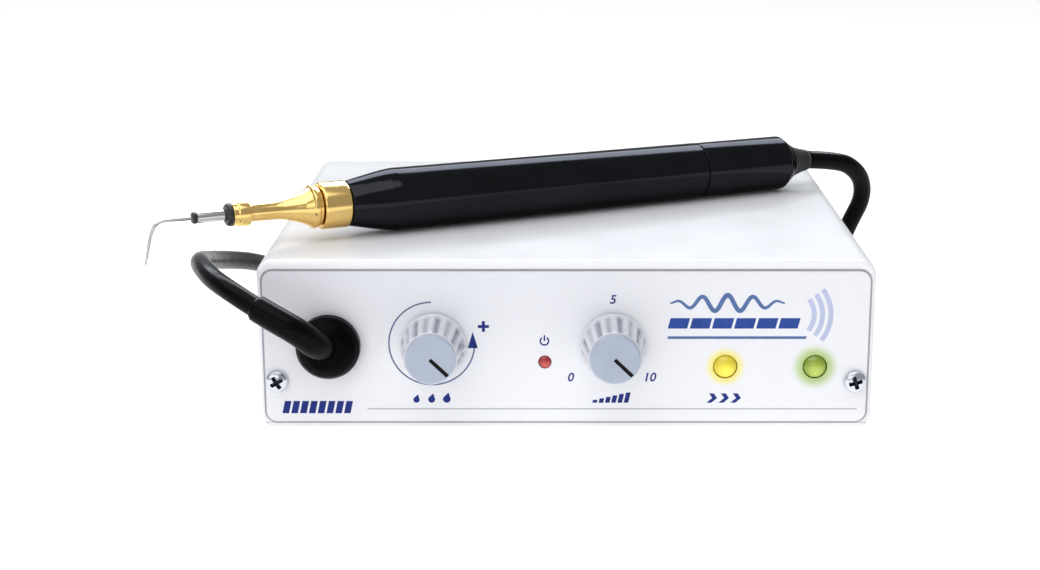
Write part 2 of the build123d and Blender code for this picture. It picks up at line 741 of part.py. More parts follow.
# ---------------------------------------------------------------- cord
# The boot is a dome on the panel with a sleeve that bends from straight out to the left.
sleeve_route = [
    (BOOT_X, -2, BOOT_Z),
    (-78, -12, 33),
    (-84.5, -17.5, 40.4),
    (-91.1, -17, 44),
    SLEEVE_END,
]
sleeve_points = [from_case(*point) for point in sleeve_route]
with BuildPart() as cord_boot:
    turn_out(
        front(BOOT_X, BOOT_Z, 0.05),
        [(0, 0), (0, BOOT_R - 0.5), (0.6, BOOT_R), (4.2, BOOT_R), (7, 8.9), (9.2, 6.2), (9.8, 0)],
    )
    disc(front(BOOT_X, BOOT_Z, 0.05), 5, -7)
    hose(sleeve_points, corner_radii(sleeve_points), SLEEVE_R)
keep(cord_boot, "cord_boot")

with BuildPart() as boot_nut:
    hexagon(front(BOOT_X, BOOT_Z, -PANEL_BACK - 0.05 - 3), 14, 3, 5.05)
keep(boot_nut, "boot_nut")

# From the boot's sleeve round the left side of the case, down to the floor and into the coil.
FLOOR_Z = CORD_R + FLOOR_GAP
front_route = [
    SLEEVE_END,
    (-106.2, -9.5, 51.2),
    (-113.9, 0, 53.2),
    (-119.4, 14, 53.4),
    (-123.6, 31, 51.2),
    (-126.6, 52, 46.6),
    (-127.6, 76, 41),
    (-125.3, 100, 35.2),
    (-120.5, 124, 28.8),
    (-116, 148, 20.5),
    (-113, 172, 11),
    (-108, 194, 4.5),
    (-95, 212, FLOOR_Z),
    (-75, 224, FLOOR_Z),
    (-55, 232, FLOOR_Z),
    (-45, 250, FLOOR_Z),
]
# From the top of the coil along the floor, up beside the right wall and into the handpiece.
rear_route = [
    (23.6, 290.9, 3 * CORD_R + FLOOR_GAP),
    (46, 276, 6.5),
    (68, 261, FLOOR_Z),
    (90, 247, FLOOR_Z),
    (107, 231, FLOOR_Z),
    (114.5, 209, FLOOR_Z),
    (112.5, 188, FLOOR_Z),
    (110, 170, 6.5),
    (109.3, 157, 16),
    (110.8, 150, 29),
    (114.5, 146.5, 40.5),
    (118, 143, 49.5),
    (117, 138.5, 58),
    (112.5, 133.5, 64),
    (106, 129.3, 67.6),
]
rear_end = HAND_START + HAND_ALONG * HAND_CORD_END
route_points = {
    "cord_front": [from_case(*point) for point in front_route],
    "cord_rear": [from_case(*point) for point in rear_route] + [rear_end],
}
for name, points in route_points.items():
    radii = corner_radii(points)
    with BuildPart() as cord:
        length = hose(points, radii, CORD_R)
    area = pi * CORD_R**2
    print(name, "length", round(length, 1), "volume ratio", round(cord.part.volume / (area * length), 4))
    print("  radii in diameters", [round(r / (2 * CORD_R), 1) for r in radii])
    keep(cord, name)

with BuildPart() as cord_coil:
    with BuildSketch(Plane(origin=from_case(COIL_X, COIL_Y, FLOOR_GAP))):
        Circle(COIL_OUTER)
        Circle(COIL_INNER, mode=Mode.SUBTRACT)
    extrude(amount=4 * CORD_R)
keep(cord_coil, "cord_coil")
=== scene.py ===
import json
from math import atan2, cos, hypot, pi, radians, sin

import bmesh
import bpy
from mathutils import Matrix, Vector


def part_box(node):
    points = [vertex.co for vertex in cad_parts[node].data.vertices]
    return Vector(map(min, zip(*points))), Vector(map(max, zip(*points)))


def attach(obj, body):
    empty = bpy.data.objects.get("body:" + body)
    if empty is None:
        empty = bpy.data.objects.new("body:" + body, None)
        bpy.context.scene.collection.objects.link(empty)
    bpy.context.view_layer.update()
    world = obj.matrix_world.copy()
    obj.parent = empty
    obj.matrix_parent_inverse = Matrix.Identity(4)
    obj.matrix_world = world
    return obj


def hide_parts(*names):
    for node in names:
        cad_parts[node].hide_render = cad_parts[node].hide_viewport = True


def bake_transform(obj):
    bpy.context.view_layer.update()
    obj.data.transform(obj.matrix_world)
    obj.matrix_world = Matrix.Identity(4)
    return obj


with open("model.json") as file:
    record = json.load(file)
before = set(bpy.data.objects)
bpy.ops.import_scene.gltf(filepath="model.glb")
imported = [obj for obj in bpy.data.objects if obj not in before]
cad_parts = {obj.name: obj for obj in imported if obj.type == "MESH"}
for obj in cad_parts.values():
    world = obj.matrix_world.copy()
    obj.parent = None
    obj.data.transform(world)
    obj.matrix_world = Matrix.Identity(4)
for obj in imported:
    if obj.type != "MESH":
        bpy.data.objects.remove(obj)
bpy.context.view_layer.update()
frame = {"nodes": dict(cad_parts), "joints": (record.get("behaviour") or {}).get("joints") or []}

# Ultrasonic scaler. Lengths in the tables below are millimetres. Places on the case are measured
# from the middle of the front panel's face (across, rearward, above the floor), places on the
# handpiece by the distance behind the barrel's front rim.
MM = 0.001
JOINTS = {joint["name"]: joint for joint in frame["joints"]}
face_low, face_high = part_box("panel_overlay")
PANEL_MIDDLE = (face_low.x + face_high.x) / 2
FACE_Y = face_low.y


def from_case(x, y, z):
    """A point of the frame from the middle of the panel's face, y rearward."""
    return Vector((PANEL_MIDDLE + x * MM, FACE_Y + y * MM, z * MM))


# ---------------------------------------------------------------- camera
camera = bpy.data.objects.new("camera", bpy.data.cameras.new("camera"))
bpy.context.scene.collection.objects.link(camera)
camera.location = from_case(-4.0, -585.6, 201.2)
camera.rotation_euler = (radians(90 - 14.38), 0, 0)
camera.data.lens = 65.0
camera.data.sensor_width = 36
camera.data.shift_x = -0.0325
camera.data.clip_start = 0.01
camera.data.clip_end = 50
bpy.context.scene.camera = camera


# ---------------------------------------------------------------- mesh helpers
def new_piece(name, bm, material, body=None, slot=None, replaces=(), sharp=38):
    """Makes a piece of a bmesh in frame metres, shaded smooth but for its sharp edges."""
    mesh = bpy.data.meshes.new(name)
    bmesh.ops.recalc_face_normals(bm, faces=bm.faces)
    bm.to_mesh(mesh)
    bm.free()
    mesh.shade_smooth()
    mesh.set_sharp_from_angle(angle=radians(sharp))
    mesh.materials.append(material)
    piece = bpy.data.objects.new(name, mesh)
    bpy.context.scene.collection.objects.link(piece)
    if body:
        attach(piece, body)
    if replaces:
        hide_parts(*replaces)
    return piece


def axis_place(origin, along):
    """Matrix whose X runs along an axis and whose Z is as upright as the axis allows."""
    along = Vector(along).normalized()
    side = along.cross(Vector((0, 0, 1))).normalized()
    place = Matrix((along, side, side.cross(along))).transposed().to_4x4()
    place.translation = origin
    return place


def out_of_panel(x, z):
    """Place on the front panel, its X straight out of the face."""
    return axis_place(from_case(x, 0, z), (0, -1, 0))


def soften(outline, reach=0.3, steps=3, closed=False):
    """Rounds the corners of an outline of (along, radius) points."""
    points = [Vector(p) for p in outline]
    done = []
    for i, here in enumerate(points):
        if not closed and i in (0, len(points) - 1):
            done.append(here)
            continue
        before, after = points[i - 1] - here, points[(i + 1) % len(points)] - here
        start = before.normalized() * min(reach, before.length * 0.45)
        end = after.normalized() * min(reach, after.length * 0.45)
        for s in range(steps + 1):
            t = s / steps
            done.append(here + start * (1 - t) ** 2 + end * t * t)
    return done


def bridge(bm, one, two):
    """Adds the faces between two rings, either of which may be a single point."""
    count = max(len(one), len(two))
    for s in range(count):
        t = (s + 1) % count
        corners = [one[s % len(one)], one[t % len(one)], two[t % len(two)], two[s % len(two)]]
        bm.faces.new(list(dict.fromkeys(corners)))


def add_plate(bm, lifted, sunk):
    """Adds a thin solid between two outlines of the same number of points."""
    top = [bm.verts.new(spot) for spot in lifted]
    bottom = [bm.verts.new(spot) for spot in sunk]
    bm.faces.new(top)
    bm.faces.new(bottom[::-1])
    bridge(bm, top, bottom)


def add_lathe(bm, place, outline, segments=96, shape=None):
    """Adds a turned solid. An outline that starts on the axis ends there, others are closed rings."""
    depth = bm.verts.layers.float.new("depth") if shape else None
    rings = []
    for along, radius in outline:
        if radius < 1e-6:
            rings.append([bm.verts.new(place @ Vector((along * MM, 0, 0)))])
            continue
        ring = []
        for s in range(segments):
            angle = 2 * pi * s / segments
            r = shape(along, radius, angle) if shape else radius
            spot = Vector((along, r * sin(angle), r * cos(angle))) * MM
            vert = bm.verts.new(place @ spot)
            # the depth under the outline is kept for the painted shade in the knob's grooves
            if shape:
                vert[depth] = radius - r
            ring.append(vert)
        rings.append(ring)
    pairs = list(zip(rings, rings[1:]))
    if len(rings[0]) > 1:
        pairs.append((rings[-1], rings[0]))
    for one, two in pairs:
        bridge(bm, one, two)


def lathe(name, place, outline, material, segments=96, shape=None, **facts):
    """A turned piece."""
    bm = bmesh.new()
    add_lathe(bm, place, outline, segments, shape)
    return new_piece(name, bm, material, **facts)


def centreline(points, resolution):
    """Points along the quadratic NURBS curve through these control points."""
    curve = bpy.data.curves.new("route", "CURVE")
    curve.dimensions = "3D"
    curve.resolution_u = resolution
    spline = curve.splines.new("NURBS")
    spline.points.add(len(points) - 1)
    for spot, point in zip(spline.points, points):
        spot.co = (*point, 1)
    spline.order_u = 3
    spline.use_endpoint_u = True
    holder = bpy.data.objects.new("route", curve)
    bpy.context.scene.collection.objects.link(holder)
    bpy.context.view_layer.update()
    mesh = bpy.data.meshes.new_from_object(holder)
    line = [v.co.copy() for v in mesh.vertices]
    bpy.data.objects.remove(holder)
    bpy.data.curves.remove(curve)
    bpy.data.meshes.remove(mesh)
    return line


def add_tube(bm, line, radius_at, segments=20, cap=0.35):
    """Adds a tube round a line. radius_at gives its radius in mm at a share of the length."""
    lengths = [0.0]
    for a, b in zip(line, line[1:]):
        lengths.append(lengths[-1] + (b - a).length)
    heading = (line[1] - line[0]).normalized()
    side = heading.cross(Vector((0, 0, 1)))
    if side.length < 0.1:
        side = heading.cross(Vector((0, 1, 0)))
    side.normalize()
    rings = []
    for i, spot in enumerate(line):
        onward = (line[min(i + 1, len(line) - 1)] - line[max(i - 1, 0)]).normalized()
        side = heading.rotation_difference(onward) @ side
        heading = onward
        side = (side - heading * side.dot(heading)).normalized()
        up = heading.cross(side)
        radius = radius_at(lengths[i] / lengths[-1]) * MM
        ring = []
        for s in range(segments):
            angle = 2 * pi * s / segments
            ring.append(bm.verts.new(spot + (side * cos(angle) + up * sin(angle)) * radius))
        rings.append(ring)
    for one, two in zip(rings, rings[1:]):
        bridge(bm, one, two)
    for ring, inner, end in ((rings[0], line[1], line[0]), (rings[-1], line[-2], line[-1])):
        outward = (end - inner).normalized()
        radius = (ring[0].co - end).length
        bridge(bm, ring, [bm.verts.new(end + outward * radius * cap)])


# ---------------------------------------------------------------- cord
CORD_RADIUS = 3.4
FLOOR_Z = CORD_RADIUS + 0.1
SLEEVE_END = (-98.3, -13.5, 47.3)
FRONT_ROUTE = [
    SLEEVE_END,
    (-106.2, -9.5, 51.2),
    (-113.9, 0, 53.2),
    (-119.4, 14, 53.4),
    (-123.6, 31, 51.2),
    (-126.6, 52, 46.6),
    (-127.6, 76, 41),
    (-125.3, 100, 35.2),
    (-120.5, 124, 28.8),
    (-116, 148, 20.5),
    (-113, 172, 11),
    (-108, 194, 4.5),
    (-95, 212, FLOOR_Z),
    (-75, 224, FLOOR_Z),
    (-55, 232, FLOOR_Z),
]
REAR_ROUTE = [
    (46, 276, 6.5),
    (68, 261, FLOOR_Z),
    (90, 247, FLOOR_Z),
    (107, 231, FLOOR_Z),
    (114.5, 209, FLOOR_Z),
    (112.5, 188, FLOOR_Z),
    (110, 170, 6.5),
    (109.3, 157, 16),
    (110.8, 150, 29),
    (114.5, 146.5, 40.5),
    (118, 143, 49.5),
    (117, 138.5, 58),
    (112.5, 133.5, 64),
    (106, 129.3, 67.6),
]
COIL_MIDDLE = (0, 250)
COIL_RADIUS = 45
COIL_STEPS = 16  # control points in each turn
LOWER_TURNS = 3
UPPER_TURNS = 3 + 1 / 3
HAND_START = Vector(JOINTS["insert_turn"]["pos_m"])
HAND_ALONG = Vector(JOINTS["insert_turn"]["axis"]).normalized()
HAND_CORD_END = 188.1  # where the cord comes out of its relief

# flat turns inward, then one layer of turns outward on top of them
coil_route = []
for step in range(round((LOWER_TURNS + UPPER_TURNS) * COIL_STEPS) + 1):
    turns = step / COIL_STEPS
    angle = pi - 2 * pi * turns
    inward = COIL_RADIUS - 2 * CORD_RADIUS * min(turns, LOWER_TURNS)
    radius = inward + 2 * CORD_RADIUS * max(turns - LOWER_TURNS, 0)
    rise = min(max((turns - LOWER_TURNS + 0.3) / 0.6, 0), 1)
    height = FLOOR_Z + 2 * CORD_RADIUS * rise * rise * (3 - 2 * rise)
    radius /= cos(pi / COIL_STEPS)  # the curve runs inside its control points
    spot = (COIL_MIDDLE[0] + radius * cos(angle), COIL_MIDDLE[1] + radius * sin(angle), height)
    coil_route.append(spot)

cord_route = [from_case(*spot) for spot in FRONT_ROUTE + coil_route + REAR_ROUTE]
cord_route.append(HAND_START + HAND_ALONG * HAND_CORD_END * MM)
cord_line = centreline(cord_route, 6)


# ---------------------------------------------------------------- materials
def shader(name):
    """A new material with its node tree and principled shader."""
    material = bpy.data.materials.new(name)
    material.use_nodes = True
    tree = material.node_tree
    return material, tree, tree.nodes["Principled BSDF"]


def node(tree, kind, inputs=None, **values):
    """A node with its settings and its inputs' values or links."""
    made = tree.nodes.new(kind)
    for key, value in values.items():
        setattr(made, key, value)
    for key, value in (inputs or {}).items():
        if isinstance(value, bpy.types.NodeSocket):
            tree.links.new(value, made.inputs[key])
        else:
            made.inputs[key].default_value = value
    return made


def place_vector(tree, turn=None, stretch=(1, 1, 1)):
    """Object coordinates, turned and stretched."""
    vector = node(tree, "ShaderNodeTexCoord").outputs["Object"]
    if turn is None and stretch == (1, 1, 1):
        return vector
    inputs = {"Vector": vector, "Scale": stretch, "Rotation": turn or (0, 0, 0)}
    return node(tree, "ShaderNodeMapping", inputs).outputs["Vector"]


def noise(tree, vector, size, detail=3.0):
    """Noise with features of about that size in metres."""
    inputs = {"Vector": vector, "Scale": 1 / size, "Detail": detail}
    return node(tree, "ShaderNodeTexNoise", inputs).outputs["Fac"]


def span(tree, value, low, high, start=0.3, stop=0.7):
    """Maps a value from its own span to low and high."""
    inputs = {"Value": value, "From Min": start, "From Max": stop, "To Min": low, "To Max": high}
    return node(tree, "ShaderNodeMapRange", inputs).outputs["Result"]


def mix(tree, share, one, two):
    """Mixes two colours."""
    made = node(tree, "ShaderNodeMix", data_type="RGBA")
    for socket, value in ((0, share), (6, one), (7, two)):
        if isinstance(value, bpy.types.NodeSocket):
            tree.links.new(value, made.inputs[socket])
        elif socket == 0:
            made.inputs[0].default_value = value
        else:
            made.inputs[socket].default_value = (*value, 1)
    return made.outputs[2]


def finish(
    name,
    colour,
    rough,
    metal=0.0,
    tone=0.06,
    tone_size=0.02,
    rough_vary=0.05,
    grain=0.0,
    grain_size=0.0005,
    turn=None,
    stretch=(1, 1, 1),
    shader_values=None,
):
    """A surface with slow changes of tone, uneven gloss and a fine grain."""
    material, tree, bsdf = shader(name)
    vector = place_vector(tree, turn, stretch)
    plain = place_vector(tree)
    darker = tuple(c * (1 - tone) for c in colour)
    lighter = tuple(min(c * (1 + tone), 1) for c in colour)
    patches = span(tree, noise(tree, plain, tone_size), 0, 1)
    tree.links.new(mix(tree, patches, darker, lighter), bsdf.inputs["Base Color"])
    scuffs = noise(tree, vector, tone_size * 0.4, 5)
    low, high = max(rough - rough_vary, 0.03), rough + rough_vary
    tree.links.new(span(tree, scuffs, low, high), bsdf.inputs["Roughness"])
    if grain:
        height = noise(tree, vector, grain_size, 2)
        inputs = {"Height": height, "Strength": grain, "Distance": grain_size * 0.2}
        bump = node(tree, "ShaderNodeBump", inputs)
        tree.links.new(bump.outputs["Normal"], bsdf.inputs["Normal"])
    bsdf.inputs["Metallic"].default_value = metal
    for key, value in (shader_values or {}).items():
        bsdf.inputs[key].default_value = value
    return material


hand_turn = (0, 0, -atan2(HAND_ALONG.y, HAND_ALONG.x))  # turns the handpiece's axis to X
TURNED = {"turn": hand_turn, "stretch": (6, 0.25, 0.25)}
COATED = {"Coat Weight": 0.5, "Coat Roughness": 0.06}
MATERIALS = {
    "shell_white": finish(
        "shell_white", (0.86, 0.865, 0.885), 0.36, tone=0.008, tone_size=0.05, rough_vary=0.03
    ),
    # mid grey for the front panel's border: painted shade for the gap round the film
    "panel_grey": finish(
        "panel_grey", (0.36, 0.355, 0.4), 0.45, tone=0.05, grain=0.3, grain_size=0.0006
    ),
    "rubber_black": finish(
        "rubber_black", (0.0015, 0.0015, 0.002), 0.3, tone=0.2, grain=0.15, grain_size=0.0006,
        shader_values={"Specular IOR Level": 0.03},
    ),
    "cord_black": finish(
        "cord_black", (0.0015, 0.0015, 0.002), 0.28, tone=0.2, rough_vary=0.04, grain=0.08,
        shader_values={"Specular IOR Level": 0.06},
    ),
    "bright_screw": finish(
        "bright_screw", (0.62, 0.65, 0.7), 0.2, 1.0, tone=0.04, tone_size=0.006, rough_vary=0.03
    ),
    "nylon_black": finish("nylon_black", (0.02, 0.02, 0.022), 0.42, tone=0.15, grain=0.3),
    "rocker_black": finish("rocker_black", (0.014, 0.014, 0.015), 0.25, tone=0.15, grain=0.1),
    "knob_grey": finish(
        "knob_grey", (0.62, 0.63, 0.68), 0.22, tone=0.03, tone_size=0.006, shader_values=COATED
    ),
    "knob_cap_blue": finish(
        "knob_cap_blue", (0.385, 0.435, 0.525), 0.38, tone=0.05, tone_size=0.01, grain=0.12
    ),
    "brass_fitting": finish("brass_fitting", (0.72, 0.52, 0.24), 0.25, 1.0, grain=0.1),
    "plated_steel": finish("plated_steel", (0.6, 0.6, 0.62), 0.3, 1.0, grain=0.15),
    "board_green": finish("board_green", (0.02, 0.16, 0.06), 0.4, tone=0.2, tone_size=0.004),
    "capacitor_black": finish("capacitor_black", (0.02, 0.02, 0.04), 0.35, tone=0.2),
    "sink_aluminium": finish(
        "sink_aluminium", (0.62, 0.62, 0.64), 0.35, 1.0, grain=0.3, stretch=(1, 0.1, 1)
    ),
    "winding_copper": finish(
        "winding_copper", (0.65, 0.3, 0.14), 0.3, 1.0, grain=0.8, stretch=(0.1, 0.1, 1)
    ),
    "hose_clear": finish("hose_clear", (0.7, 0.72, 0.72), 0.3, tone=0.03),
    "barrel_black": finish(
        "barrel_black", (0.021, 0.022, 0.025), 0.13, 1.0, tone=0.12, rough_vary=0.02,
        shader_values={"Specular Tint": (0.55, 0.55, 0.55, 1)},
    ),
    "insert_gold": finish(
        "insert_gold", (0.9, 0.62, 0.22), 0.17, 1.0, tone=0.05, tone_size=0.004,
        rough_vary=0.04, grain=0.12, grain_size=0.0006, **TURNED
    ),
    "nose_black": finish("nose_black", (0.01, 0.01, 0.011), 0.4, tone=0.2, grain=0.2),
    "tip_steel": finish(
        "tip_steel", (0.62, 0.61, 0.58), 0.2, 1.0, tone=0.08, grain=0.1, **TURNED
    ),
    "stack_nickel": finish("stack_nickel", (0.6, 0.58, 0.54), 0.35, 1.0, grain=0.3, **TURNED),
}
CORE_LIGHT = {"led_red": 0.0, "led_yellow": 0.12, "led_green": 0.03}
LENS_COLOURS = {
    "led_red": ((0.3, 0.01, 0.012), (0.6, 0.05, 0.03)),
    "led_yellow": ((0.62, 0.5, 0.03), (1.0, 0.87, 0.04)),
    "led_green": ((0.2, 0.29, 0.02), (0.56, 0.7, 0.08)),
}
CORE_REACH = {"led_red": 0.0024, "led_yellow": 0.0042, "led_green": 0.0042}
LED_NODES = {"led_red": "red_led", "led_yellow": "yellow_led", "led_green": "green_led"}
LENSES = {}  # slot: middle of the lens on the panel's face
for slot, led in LED_NODES.items():
    low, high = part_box(led)
    LENSES[slot] = Vector(((low.x + high.x) / 2, FACE_Y, (low.z + high.z) / 2))


def nearness(tree, spot, near, far):
    """1 within near of a spot, 0 beyond far, smooth between, in metres."""
    vector = node(tree, "ShaderNodeTexCoord").outputs["Object"]
    inputs = {0: vector, 1: spot}
    gap = node(tree, "ShaderNodeVectorMath", inputs, operation="DISTANCE").outputs["Value"]
    inputs = {"Value": gap, "From Min": near, "From Max": far, "To Min": 1.0, "To Max": 0.0}
    ramp = node(tree, "ShaderNodeMapRange", inputs, interpolation_type="SMOOTHERSTEP")
    return ramp.outputs["Result"]


for slot, (rim, core) in LENS_COLOURS.items():
    material, tree, bsdf = shader(slot)
    middle = LENSES[slot] + Vector((0.0003, 0, -0.0008))
    share = nearness(tree, middle, 0.0006, CORE_REACH[slot])
    flecks = span(tree, noise(tree, place_vector(tree), 0.0008), 0.85, 1.0)
    inputs = {0: share, 1: flecks}
    share = node(tree, "ShaderNodeMath", inputs, operation="MULTIPLY").outputs[0]
    colour = mix(tree, share, rim, core)
    tree.links.new(colour, bsdf.inputs["Base Color"])
    tree.links.new(colour, bsdf.inputs["Emission Color"])
    bsdf.inputs["Emission Strength"].default_value = CORE_LIGHT[slot]
    bsdf.inputs["Roughness"].default_value = 0.22
    bsdf.inputs["Coat Weight"].default_value = 0.6
    MATERIALS[slot] = material

# painted shade: the grooves of a knob's skirt and a screw's recess are darkened by their depth
for slot, recess_shade_colour, deep in (("knob_grey", (0.2, 0.23, 0.3), 0.9), ("bright_screw", (0.03, 0.035, 0.045), 0.35)):
    tree = MATERIALS[slot].node_tree
    bsdf = tree.nodes["Principled BSDF"]
    depth = node(tree, "ShaderNodeAttribute", attribute_name="depth").outputs["Fac"]
    base = bsdf.inputs["Base Color"].links[0].from_socket
    tree.links.new(mix(tree, span(tree, depth, 0, 1, 0, deep), base, recess_shade_colour), bsdf.inputs["Base Color"])

# the printed film: a pale lavender grey with painted shade, darker towards the top left, and painted lamp
# glow near the lamps
film, tree, bsdf = shader("panel_film")
across = node(tree, "ShaderNodeSeparateXYZ", {0: place_vector(tree)})
slope = span(tree, across.outputs["Z"], 0.0, 1.0, face_low.z, face_high.z)
sweep = span(tree, across.outputs["X"], 1.0, 0.35, face_low.x, face_high.x)
shade = node(tree, "ShaderNodeMath", {0: slope, 1: sweep}, operation="MULTIPLY").outputs[0]
film_colour = mix(tree, shade, (0.84, 0.845, 0.87), (0.74, 0.745, 0.79))
for slot, tint, near, far in (
    ("led_yellow", (0.9, 0.8, 0.2), 0.0036, 0.0076),
    ("led_green", (0.45, 0.6, 0.22), 0.0036, 0.0088),
):
    film_colour = mix(tree, nearness(tree, LENSES[slot], near, far), film_colour, tint)
tree.links.new(film_colour, bsdf.inputs["Base Color"])
tree.links.new(
    span(tree, noise(tree, place_vector(tree), 0.01, 5), 0.34, 0.42), bsdf.inputs["Roughness"]
)
height = noise(tree, place_vector(tree), 0.0005, 2)
bump = node(tree, "ShaderNodeBump", {"Height": height, "Strength": 0.1, "Distance": 0.00005})
tree.links.new(bump.outputs["Normal"], bsdf.inputs["Normal"])
MATERIALS["panel_film"] = film

ink = finish("ink_navy", (0.02, 0.035, 0.2), 0.45, tone=0.1, tone_size=0.003)
ink_grey = finish("ink_grey", (0.12, 0.14, 0.27), 0.45, tone=0.1, tone_size=0.003)
ink_slate = finish("ink_slate", (0.1, 0.17, 0.36), 0.45, tone=0.1, tone_size=0.004)
ink_rule = finish("ink_rule", (0.36, 0.37, 0.41), 0.45, tone=0.06, tone_size=0.004)
ink_pale = finish("ink_lavender", (0.5, 0.53, 0.72), 0.45, tone=0.05, tone_size=0.005)
ink_blue = finish("ink_blue", (0.03, 0.07, 0.3), 0.45, tone=0.12, tone_size=0.004)
pointer_black = finish("pointer_black", (0.004, 0.004, 0.006), 0.4, tone=0.2)
for ink_colour in (ink, ink_grey, ink_slate, ink_rule, ink_pale, ink_blue, pointer_black):
    ink_colour.node_tree.nodes["Principled BSDF"].inputs["Specular IOR Level"].default_value = 0.1

for name, piece in frame["nodes"].items():
    slot = piece.material_slots[0].material.name.split(".")[0]
    piece.material_slots[0].material = MATERIALS[slot]
# painted shade: the front panel shows as a thin border round the film, and its mid grey stands for the dark
# gap there
frame["nodes"]["front_panel"].material_slots[0].material = MATERIALS["panel_grey"]

# ---------------------------------------------------------------- cord's mesh
bm = bmesh.new()
add_tube(bm, cord_line, lambda share: CORD_RADIUS, segments=24)
cord = new_piece("handpiece_cord", bm, MATERIALS["cord_black"])
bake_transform(cord)
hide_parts("cord_front", "cord_coil", "cord_rear")

# ---------------------------------------------------------------- boot and its sleeve
BOOT = (-77.0, 31.0)
DOME = [(0.05, 0), (0.05, 9.9), (0.6, 10.4), (4.2, 10.4), (7, 8.9), (9.2, 6.2), (9.85, 0)]
lathe(
    "cord_boot_dome", out_of_panel(*BOOT), soften(DOME, 0.7, 4), MATERIALS["rubber_black"],
    body="case", slot="rubber_black", replaces=["cord_boot"],
)
SLEEVE_ROUTE = [
    (BOOT[0], -2, BOOT[1]),
    (-78, -12, 33),
    (-84.5, -17.5, 40.4),
    (-91.1, -17, 44),
    SLEEVE_END,
]
sleeve_line = centreline([from_case(*spot) for spot in SLEEVE_ROUTE], 14)


def sleeve_radius(share):
    """Nearly straight sleeve with a rounded lip where the cord comes out."""
    lip = max(share - 0.965, 0) / 0.035
    return 4.55 - 0.2 * share - 0.75 * lip * lip


bm = bmesh.new()
add_tube(bm, sleeve_line, sleeve_radius, segments=32, cap=0.05)
new_piece("cord_boot_sleeve", bm, MATERIALS["cord_black"], body="case", slot="cord_black")

# ---------------------------------------------------------------- knobs
FLUTES = 16
POINTER_TURN = radians(134)
POINTER_WIDTH = 1.24
POINTER_REACH = 7.6
KNOB_FRONT = 18.18  # how far the cap stands out of the panel
KNOB_OUTLINE = [
    (0.7, 0),
    (0.7, 10.4),
    (1.1, 10.7),
    (2.6, 10.7),
    (3.2, 10.3),
    (4.2, 10.15),
    (7.0, 9.85),
    (10.0, 9.5),
    (13.0, 9.2),
    (14.8, 9.0),
    (15.7, 8.8),
    (16.4, 8.6),
    (16.65, 8.3),
    (16.65, 0),
]


def knob_shape(along, radius, angle):
    """Grooves round the skirt, deep and shallow in turn, that run out at both its ends."""
    if radius < 8.5:
        return radius
    runout = min(max((along - 2.7) / 1.0, 0), 1) * min(max((16.4 - along) / 0.9, 0), 1)
    groove = int(angle / (2 * pi) * FLUTES) % FLUTES
    depth = 0.95 if groove % 2 else 0.55
    return radius - depth * runout * abs(sin(angle * FLUTES / 2)) ** 3


for control, knob_node in (("water_control", "water_knob"), ("power_control", "power_knob")):
    low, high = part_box(knob_node)
    centre = Vector(((low.x + high.x) / 2, FACE_Y, (low.z + high.z) / 2))
    place = axis_place(centre, (0, -1, 0))
    lathe(
        f"{knob_node}_skirt", place, soften(KNOB_OUTLINE, 0.25, 2), MATERIALS["knob_grey"],
        segments=FLUTES * 12, shape=knob_shape, body=control, slot="knob_grey",
        replaces=[knob_node], sharp=60,
    )
    cap = [(16.66, 0), (16.66, 8.05), (17.6, 8.05), (18.05, 7.75), (18.15, 7.3), (KNOB_FRONT, 0)]
    lathe(
        f"{knob_node}_face", place, soften(cap, 0.2, 3), MATERIALS["knob_cap_blue"],
        body=control, slot="knob_cap_blue", replaces=[f"{knob_node}_cap"],
    )
    bm = bmesh.new()
    toward = Vector((sin(POINTER_TURN), 0, cos(POINTER_TURN)))
    beside = Vector((cos(POINTER_TURN), 0, -sin(POINTER_TURN)))
    corners = []
    for along, across_line in ((-0.2, 1), (POINTER_REACH, 1), (POINTER_REACH, -1), (-0.2, -1)):
        corners.append(toward * along + beside * across_line * POINTER_WIDTH / 2)
    lifted, sunk = [
        [centre + (corner + Vector((0, -out, 0))) * MM for corner in corners]
        for out in (KNOB_FRONT + 0.02, KNOB_FRONT - 0.08)
    ]
    add_plate(bm, lifted, sunk)
    new_piece(f"{knob_node}_pointer", bm, pointer_black, body=control, slot="rocker_black")

# ---------------------------------------------------------------- lamps
LENS_RADII = {"led_red": 2.1, "led_yellow": 3.9, "led_green": 3.9}
for slot, led in LED_NODES.items():
    radius = LENS_RADII[slot]
    outline = [(-6, 0), (-6, radius), (-0.3 * radius, radius)]
    for degrees in range(8, 90, 8):
        out = -0.3 * radius + 0.75 * radius * sin(radians(degrees))
        outline.append((out, radius * cos(radians(degrees))))
    outline.append((0.45 * radius, 0))
    lathe(
        f"{led}_lens", axis_place(LENSES[slot], (0, -1, 0)), outline, MATERIALS[slot],
        segments=72, body="case", slot=slot, replaces=[led],
    )


# ---------------------------------------------------------------- screws with a cross recess
SCREW_INSET = 3.8  # from the end of the screws' box to a screw's axis
SCREW_HEAD_R = 3.75
SCREW_HEIGHT = 2.5
SCREW_SHANK_R = 1.95


